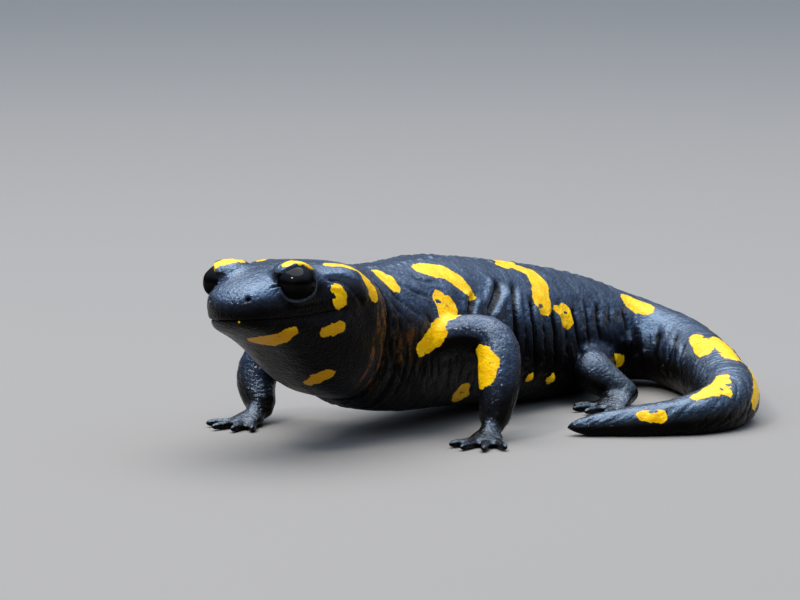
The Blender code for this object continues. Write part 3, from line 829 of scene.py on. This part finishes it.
# ---------------------------------------------------------------- the yellow markings
# Each spot is a chain of places with a radius in mm at each.
SPOTS = (
    ("head", ((14.8, 8.9, 3.3, 1.0), (15.3, 9.2, 2.1, 1.3), (15.6, 9.1, 1.5, 1.1))),  # cheek
    ("head", ((17.4, 6.1, 6.7, 1.05), (19.4, 7.1, 6.2, 1.4), (21.3, 7.8, 5.4, 1.2),
              (22.1, 9.1, 4.1, 1.35), (22.8, 9.8, 2.7, 1.25), (23.5, 10.0, 1.6, 0.85))),  # gland
    ("head", ((7.4, 6.0, 7.9, 0.9), (9.0, 6.5, 8.1, 1.25), (11.0, 7.5, 7.3, 1.05))),  # upper lid
    ("head", ((6.3, -6.4, 7.5, 0.9), (8.0, -5.2, 8.0, 1.2), (10.0, -4.6, 7.8, 1.1))),  # right lid
    ("head", ((5.7, 1.0, -3.4, 1.25), (6.3, 2.9, -3.2, 1.85), (7.2, 5.2, -2.5, 1.35),
              (7.9, 6.2, -2.0, 0.8))),  # jaw
    ("head", ((13.0, 7.9, -2.6, 0.7), (14.6, 8.3, -2.4, 1.0), (16.2, 8.8, -2.0, 0.75))),
    ("head", ((0.8, 1.9, -0.15, 0.09),)),
    ("head", ((16.9, 2.0, -10.9, 0.7), (16.3, 4.3, -9.8, 1.1), (16.6, 5.9, -9.1, 1.0))),  # throat
    ("body", ((32.4, 64, 1.4), (32.1, 55, 2.0), (32.2, 48, 1.8))),  # nape
    ("body", ((42.9, 66, 1.5), (44.5, 63, 2.0), (46.8, 58, 2.0), (48.3, 48, 1.7), (49.2, 39, 1.4),
              (50.0, 34, 0.9))),
    ("body", ((41.7, 31, 1.8), (42.3, 24, 2.4), (41.9, 17, 2.3), (40.6, 10, 1.3))),  # shoulder
    ("body", ((35.3, -5, 1.2), (36.9, -1, 1.6), (38.6, 5, 1.7), (39.4, 9, 1.4))),  # arm root
    ("foreleg_left", ((-3.0, 17.4, 12.2, 2.0), (-2.2, 18.2, 11.0, 2.6), (-1.6, 18.6, 9.7, 2.1),
                      (-1.2, 18.4, 8.9, 1.2))),
    ("body", ((47.6, -40, 1.6), (48.8, -48, 1.6))),
    ("body", ((66.0, 70, 1.2), (69.5, 80, 1.7), (71.5, 92, 1.6))),
    ("body", ((68.5, 71, 1.0), (71.5, 61, 2.1), (71.0, 50, 2.2), (69.8, 40, 1.9), (68.9, 34, 2.2),
              (68.4, 30.5, 2.3))),
    ("body", ((71.6, 26, 0.5), (74.3, 21, 1.9), (74.2, 18.5, 1.75))),
    ("body", ((63.7, -25, 0.85),)),
    ("body", ((69.8, -26, 0.95),)),
    ("body", ((99.5, 63, 1.8), (102.6, 68, 1.8))),  # over the hips
    ("body", ((89.6, -9, 0.5), (92.8, -17, 1.2))),
    ("body", ((119.0, 74, 1.1), (123.0, 72, 1.6), (127.5, 68, 1.6), (129.5, 64, 1.1))),  # tail
    ("body", ((123.5, 84, 1.2), (126.5, 94, 1.4))),
    ("body", ((121.5, 104, 1.3), (125.5, 108, 1.7), (130.0, 107, 1.9), (134.8, 105, 1.6))),
    ("body", ((135.0, 148, 1.2), (139.5, 153, 1.4), (143.0, 163, 1.5), (145.0, 178, 1.2))),
    ("body", ((154.4, 113, 0.7), (151.5, 108, 1.5), (148.8, 98, 1.6), (146.0, 80, 1.1))),
    ("body", ((149.8, 126, 1.1),)),
    ("body", ((162.2, 148, 0.9), (159.9, 157, 1.2))),
    # The right side.
    ("head", ((17.0, -6.0, 6.7, 0.7), (19.5, -7.4, 5.9, 1.1), (21.8, -8.9, 4.3, 1.2),
              (23.2, -9.6, 2.2, 0.8))),
    ("head", ((14.4, -9.0, 2.8, 1.1), (15.6, -9.3, 1.4, 1.0))),
    ("head", ((9.5, -6.9, -2.4, 0.8), (12.6, -7.7, -3.0, 1.1))),
    ("body", ((33.0, 122, 1.4), (36.5, 132, 2.0), (40.0, 140, 1.6))),
    ("body", ((45.5, 112, 1.5), (49.0, 118, 2.1), (52.5, 130, 2.2), (54.0, 145, 1.6))),
    ("body", ((44.0, 172, 1.6), (47.0, 176, 1.8))),
    ("body", ((59.5, 112, 1.7), (61.0, 124, 1.9))),
    ("body", ((62.5, 158, 1.9), (65.5, 150, 2.2))),
    ("body", ((73.5, 122, 1.7), (77.0, 132, 2.3), (80.0, 144, 1.7))),
    ("body", ((84.5, 112, 1.6), (88.0, 120, 1.7))),
    ("body", ((86.0, 165, 1.3),)),
    ("body", ((95.5, 140, 1.6), (98.5, 150, 1.5))),
    ("body", ((55.5, -162, 0.8),)),
    ("body", ((61.0, -158, 0.7),)),
    ("body", ((72.0, -160, 0.8),)),
    ("body", ((109.5, 132, 1.4), (113.5, 140, 1.5))),
    ("body", ((52.0, -84, 0.8),)),
    ("body", ((66.5, -100, 0.9), (68.0, -96, 0.7))),
    ("foreleg_right", ((0.2, 13.5, 14.2, 1.2), (0.4, 16.0, 12.8, 1.3))),
    ("foreleg_right", ((1.2, 21.5, 7.8, 1.2), (1.6, 21.6, 6.2, 1.0))),
    ("hindleg_right", ((6.2, 11.2, 8.6, 1.2), (7.6, 13.0, 8.0, 1.3))),
    ("hindleg_right", ((5.2, 19.2, 4.6, 0.9),)),
    ("hindleg_left", ((8.6, 18.6, 4.6, 0.8),)),
)
# Black pores and notches inside the yellow.
HOLES = (
    ("head", ((14.3, 8.9, 3.6, 0.16),)),
    ("head", ((14.1, 9.0, 2.5, 0.35),)),
    ("head", ((15.3, 9.3, 1.2, 0.14),)),
    ("body", ((40.6, 31, 0.22), (41.2, 30, 0.18))),
    ("body", ((42.6, 26, 0.22),)),
    ("body", ((36.0, -6.5, 0.2),)),
    ("body", ((47.9, -43, 0.3), (48.6, -42, 0.3))),
    ("body", ((66.8, 26, 0.3), (68.0, 27, 0.2))),
    ("body", ((74.3, 23, 0.25), (74.9, 22, 0.15))),
    ("body", ((130.6, 83, 0.5), (131.4, 88, 0.35))),
    ("body", ((120.8, 89, 0.7),)),
    ("body", ((150.1, 115, 0.35),)),
    ("body", ((160.4, 139, 0.3), (161.0, 142, 0.25))),
    ("body", ((148.6, 112, 0.3), (147.4, 116, 0.25))),
)
UNPAINTED = -9.0  # the depth given to vertices far from every spot


def painted(spots):
    """How deep inside the spots each vertex is, in mm; negative outside."""
    depth = np.full(len(points), UNPAINTED)
    for kind, chain in spots:
        places = [link[:-1] for link in chain]
        away, radius, _ = along_trail(points, kind, places, [link[-1] for link in chain])
        depth = np.maximum(depth, np.where(away == FAR_OFF, UNPAINTED, radius - away))
    return depth


facing = normals[:, 2]
rust = (1 - in_limb) * band(s, 23.0, 26.5, 1.2) * band(flank, -45, 14, 12)
rust = np.maximum(rust, 0.6 * (1 - in_limb) * band(s, 31, 34.5, 1.5) * band(flank, -14, 2, 8))
streaks = grain(np.column_stack([s / 0.55, high / 2.6, side_mm / 2.6]), 1.0, 41)
clear_of_furrow_shade = 1 - 0.85 * smooth((-rise - 0.08) / 0.35)  # painted shade: the bottoms of furrows stay dark, with less sheen, coat and blue-tinted colour
upward = smooth((facing + 0.05 + 0.22 * smooth((s - 30) / 6)) / 0.65) * (1 - 0.4 * in_limb)
wet = (0.04 + 0.96 * smooth((facing + 0.12) / 0.5)) * clear_of_furrow_shade
for name, values in {
    "yellow": np.minimum(painted(SPOTS), -painted(HOLES)),
    # painted shade: under the mouth line the yellow turns orange
    "shaded": smooth((-mouth - 0.8) / 1.2) * (s < 30),
    "rust": rust * smooth((streaks - 0.05) / 0.3),
    "snout": snout * is_near_head,
    "sheen": np.maximum((0.04 + 0.96 * upward) * clear_of_furrow_shade, lower_rim),
    "wet": np.maximum(wet, lower_rim),
    # painted sky sheen: a blue-tinted base colour where the skin faces up and lies higher, held
    # back in furrows
    "painted_sky_sheen": smooth((facing + 0.15) / 0.7) * smooth((high - 3) / 8) * clear_of_furrow_shade,
}.items():
    store(mesh, name, values)

# ---------------------------------------------------------------- materials
def new_material(name):
    material = bpy.data.materials.new(name)
    material.use_nodes = True
    tree = material.node_tree
    tree.nodes.clear()
    output = tree.nodes.new("ShaderNodeOutputMaterial")
    shader = tree.nodes.new("ShaderNodeBsdfPrincipled")
    tree.links.new(shader.outputs[0], output.inputs["Surface"])
    return material, tree, shader


class Graph:
    """Short ways to add the nodes of a material."""

    def __init__(self, tree):
        self.tree = tree

    def put(self, socket, value):
        if isinstance(value, bpy.types.NodeSocket):
            self.tree.links.new(value, socket)
        else:
            socket.default_value = value

    def attribute(self, name):
        node = self.tree.nodes.new("ShaderNodeAttribute")
        node.attribute_name = name
        return node.outputs["Fac"]

    def place(self):
        return self.tree.nodes.new("ShaderNodeTexCoord").outputs["Object"]

    def noise(self, size_mm, detail=2.0, rough=0.5):
        node = self.tree.nodes.new("ShaderNodeTexNoise")
        self.put(node.inputs["Vector"], self.place())
        self.put(node.inputs["Scale"], 1 / (size_mm * MM))
        self.put(node.inputs["Detail"], detail)
        self.put(node.inputs["Roughness"], rough)
        return node.outputs["Fac"]

    def cells(self, size_mm):
        node = self.tree.nodes.new("ShaderNodeTexVoronoi")
        self.put(node.inputs["Vector"], self.place())
        self.put(node.inputs["Scale"], 1 / (size_mm * MM))
        return node.outputs["Distance"]

    def math(self, operation, *values):
        node = self.tree.nodes.new("ShaderNodeMath")
        node.operation = operation
        for socket, value in zip(node.inputs, values):
            self.put(socket, value)
        return node.outputs[0]

    def ramp(self, *values):
        """Value, and the ends of its range and, unless they are 0 and 1, of the result's."""
        node = self.tree.nodes.new("ShaderNodeMapRange")
        for name, value in zip(("Value", "From Min", "From Max", "To Min", "To Max"), values):
            self.put(node.inputs[name], value)
        return node.outputs[0]

    def mix(self, share, a, b):
        node = self.tree.nodes.new("ShaderNodeMix")
        node.data_type = "RGBA"
        self.put(node.inputs["Factor"], share)
        self.put(node.inputs["A"], a)
        self.put(node.inputs["B"], b)
        return next(output for output in node.outputs if output.type == "RGBA")

    def bump(self, height, depth_mm, normal=None):
        node = self.tree.nodes.new("ShaderNodeBump")
        self.put(node.inputs["Distance"], depth_mm * MM)
        self.put(node.inputs["Height"], height)
        if normal:
            self.put(node.inputs["Normal"], normal)
        return node.outputs[0]


# The blacks of the underside, and the blue-tinted blacks of a painted sky sheen on the skin that
# faces up.
BLACK = (0.0022, 0.0018, 0.0016, 1)
SOOT = (0.0036, 0.0026, 0.0019, 1)
PAINTED_SHEEN_DARK = (0.007, 0.011, 0.023, 1)
PAINTED_SHEEN_PALE = (0.017, 0.026, 0.050, 1)
BROWN = (0.13, 0.048, 0.010, 1)
YELLOW = (0.93, 0.55, 0.004, 1)
DEEP_YELLOW = (0.88, 0.42, 0.003, 1)
PAINTED_SHADE_ORANGE = (0.46, 0.20, 0.004, 1)
SHADE_TINT, SHADE_LEVEL = (0.03, 0.022, 0.02, 1), 0.18  # of the reflections, under the body
SKY_TINT, SKY_LEVEL = (0.34, 0.64, 1.0, 1), 0.65  # and on top of it
COAT_ROUGHNESS, COAT_IOR = 0.06, 1.5

material, tree, shader = new_material("salamander_skin")
g = Graph(tree)
ragged = g.math("MULTIPLY", g.math("SUBTRACT", g.noise(1.1, 2.0, 0.55), 0.5), 0.9)
frayed = g.math("MULTIPLY", g.math("SUBTRACT", g.noise(0.28, 1.0, 0.5), 0.5), 0.22)
edge = g.math("ADD", g.math("ADD", g.attribute("yellow"), ragged), frayed)
spot = g.ramp(edge, -0.045, 0.045)
pore = g.ramp(g.cells(1.5), 0.05, 0.075)
pored = g.math("MAXIMUM", pore, g.ramp(edge, 0.7, 0.2))
spot_share = g.math("MULTIPLY", spot, pored)
mottled = g.ramp(g.noise(2.2, 3.0, 0.6), 0.35, 0.7)
# painted sky sheen: mottled blue-tinted blacks for the skin that faces up
bluish = g.mix(mottled, PAINTED_SHEEN_DARK, PAINTED_SHEEN_PALE)
black = g.mix(g.attribute("painted_sky_sheen"), g.mix(mottled, BLACK, SOOT), bluish)
rusty = g.math("MULTIPLY", g.attribute("rust"), g.ramp(g.noise(0.8, 3.0, 0.7), 0.40, 0.55))
black = g.mix(rusty, black, BROWN)
yellow_colour = g.mix(g.ramp(g.noise(1.6, 2.0, 0.5), 0.35, 0.7), YELLOW, DEEP_YELLOW)
# painted shade: the yellow under the mouth line is mixed towards orange
yellow_colour = g.mix(g.math("MULTIPLY", g.attribute("shaded"), 0.75), yellow_colour, PAINTED_SHADE_ORANGE)
g.put(shader.inputs["Base Color"], g.mix(spot_share, black, yellow_colour))
roughness = g.ramp(g.noise(1.4, 3.0, 0.6), 0.3, 0.7, 0.26, 0.42)
g.put(shader.inputs["Roughness"], roughness)
dull_spots = g.ramp(spot_share, 0.0, 1.0, 1.0, 0.15)
sheen = g.math("MULTIPLY", g.ramp(g.attribute("sheen"), 0.3, 0.95), dull_spots)
level = g.ramp(sheen, 0.0, 0.6, SHADE_LEVEL, SKY_LEVEL)
g.put(shader.inputs["Specular IOR Level"], level)
g.put(shader.inputs["Specular Tint"], g.mix(sheen, SHADE_TINT, SKY_TINT))
patchy_wet = g.ramp(g.noise(2.5, 2.0, 0.5), 0.3, 0.7, 0.45, 0.85)
wetness = g.math("MULTIPLY", g.attribute("wet"), patchy_wet)
dry_spots = g.ramp(spot_share, 0.0, 1.0, 1.0, 0.3)
g.put(shader.inputs["Coat Weight"], g.math("MULTIPLY", wetness, dry_spots))
g.put(shader.inputs["Coat Roughness"], COAT_ROUGHNESS)
g.put(shader.inputs["Coat IOR"], COAT_IOR)
fine = g.bump(g.cells(0.42), 0.07)
finer = g.bump(g.noise(0.2, 2.0, 0.6), 0.03, fine)
grainy = g.bump(g.math("MULTIPLY", g.cells(0.36), g.attribute("snout")), 0.08, finer)
normal = g.bump(spot, 0.02, grainy)
g.put(shader.inputs["Normal"], normal)
coat_grain = g.bump(g.cells(0.55), 0.12)
coat_normal = g.bump(g.noise(0.7, 3.0, 0.6), 0.18, coat_grain)
g.put(shader.inputs["Coat Normal"], coat_normal)
skin.data.materials.clear()
skin.data.materials.append(material)

# ---------------------------------------------------------------- the eyes
PUPIL, IRIS = 20.0, 38.0  # half angles, in degrees
CORNEA_RISE = 0.16
PUPIL_BLACK, EYE_BLACK = (0.0005, 0.0005, 0.0007, 1), (0.0012, 0.0011, 0.0013, 1)
IRIS_DARK, IRIS_LIGHT = (0.0010, 0.0006, 0.0005, 1), (0.0034, 0.0019, 0.0010, 1)
EYE_ROUGHNESS = 0.3
CORNEA_ROUGHNESS, CORNEA_IOR = 0.05, 1.33
material, tree, shader = new_material("salamander_eye")
g = Graph(tree)
off_axis = g.attribute("off_axis")
streaks = g.noise(0.35, 3.0, 0.6)
iris = g.mix(streaks, IRIS_DARK, IRIS_LIGHT)
inside = g.ramp(off_axis, PUPIL - 1.5, PUPIL + 1.5)
rim = g.ramp(off_axis, IRIS - 4, IRIS + 2)
g.put(shader.inputs["Base Color"], g.mix(rim, g.mix(inside, PUPIL_BLACK, iris), EYE_BLACK))
g.put(shader.inputs["Roughness"], EYE_ROUGHNESS)
g.put(shader.inputs["Specular IOR Level"], 0.0)
g.put(shader.inputs["Coat Weight"], g.ramp(g.attribute("skyward"), -0.35, 0.3, 0.06, 0.45))
g.put(shader.inputs["Coat Roughness"], CORNEA_ROUGHNESS)
g.put(shader.inputs["Coat IOR"], CORNEA_IOR)
for side in EYE_SIDES:
    centre, ways = eye_frame(side)
    turn = math.radians(GAZE_TURN)
    gaze = np.array(ways[0]) * math.sin(turn) + np.array(ways[1]) * math.cos(turn)
    bm = bmesh.new()
    bmesh.ops.create_icosphere(bm, subdivisions=5, radius=1.0)
    eye = bpy.data.meshes.new("eyeball_" + side)
    bm.to_mesh(eye)
    bm.free()
    unit = vectors(eye.vertices, "co", len(eye.vertices))
    placed = sum(unit[:, k : k + 1] * EYE_RADII[k] * ways[k] for k in range(3))
    outward = placed / np.linalg.norm(placed, axis=1, keepdims=True)
    off = np.degrees(np.arccos(np.clip(outward @ gaze, -1, 1)))
    placed += outward * (CORNEA_RISE * smooth((IRIS + 8 - off) / 30))[:, None]
    write_points(eye, centre + placed)
    store(eye, "off_axis", off)
    store(eye, "skyward", outward[:, 2])
    eye.shade_smooth()
    eye.materials.append(material)
    ball = add_object("eyeball_" + side, eye)
    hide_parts("eye_" + side)
    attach(ball, "root")

# ---------------------------------------------------------------- what rides on the CAD body
skin.data.shade_smooth()
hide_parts(*flesh)
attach(skin, "root")

# ---------------------------------------------------------------- floor, light and camera
FLOOR_COLOUR, FLOOR_ROUGHNESS, FLOOR_HALF = (0.22, 0.19, 0.16, 1), 0.9, 3.0
SKY_LOW, SKY_HIGH = (0.06, 0.065, 0.08, 1), (1.05, 1.38, 1.9, 1)
LIGHTS = (  # name, place and aim in metres, diameter, watts, colour
    ("sky", (-0.05, 0.1, 0.7), (0, 0, 0.02), 0.9, 8.6, (0.90, 0.95, 1.0)),
    ("glint", (-0.30, -0.40, 0.55), (0, 0, 0.01), 0.11, 1.7, (1.0, 0.98, 0.95)),
)
LENS, SENSOR = 193.05, 36  # mm
CAMERA_TILT, CAMERA_AWAY = math.radians(8), 0.65
TARGET = Vector((-0.01262, -0.00604, 0.0185))
floor_mesh = bpy.data.meshes.new("floor")
bm = bmesh.new()
bmesh.ops.create_grid(bm, x_segments=1, y_segments=1, size=FLOOR_HALF)
bm.to_mesh(floor_mesh)
bm.free()
floor = add_object("floor", floor_mesh)
material, tree, shader = new_material("floor")
shader.inputs["Base Color"].default_value = FLOOR_COLOUR
shader.inputs["Roughness"].default_value = FLOOR_ROUGHNESS
floor_mesh.materials.append(material)

world = bpy.data.worlds.new("world")
bpy.context.scene.world = world
world.use_nodes = True
backdrop = world.node_tree.nodes["Background"]
g = Graph(world.node_tree)
direction = world.node_tree.nodes.new("ShaderNodeTexCoord").outputs["Generated"]
parts = world.node_tree.nodes.new("ShaderNodeSeparateXYZ")
g.put(parts.inputs[0], direction)
overhead = g.ramp(parts.outputs["Z"], 0.25, 0.8)
g.put(backdrop.inputs["Color"], g.mix(overhead, SKY_LOW, SKY_HIGH))

for name, place, aim, size, watts, colour in LIGHTS:
    light = bpy.data.lights.new(name, "AREA")
    light.shape = "DISK"
    light.size = size
    light.energy = watts
    light.color = colour
    lamp = add_object(name, light)
    lamp.location = place
    lamp.rotation_euler = (Vector(aim) - Vector(place)).to_track_quat("-Z", "Y").to_euler()

camera = add_object("camera", bpy.data.cameras.new("camera"))
camera.data.sensor_width = SENSOR
camera.data.lens = LENS
camera.data.clip_start = 0.01
camera.location = TARGET + CAMERA_AWAY * Vector((0, -math.cos(CAMERA_TILT), math.sin(CAMERA_TILT)))
camera.rotation_euler = (math.pi / 2 - CAMERA_TILT, 0, 0)
bpy.context.scene.camera = camera
bpy.context.scene.view_settings.view_transform = "Standard"
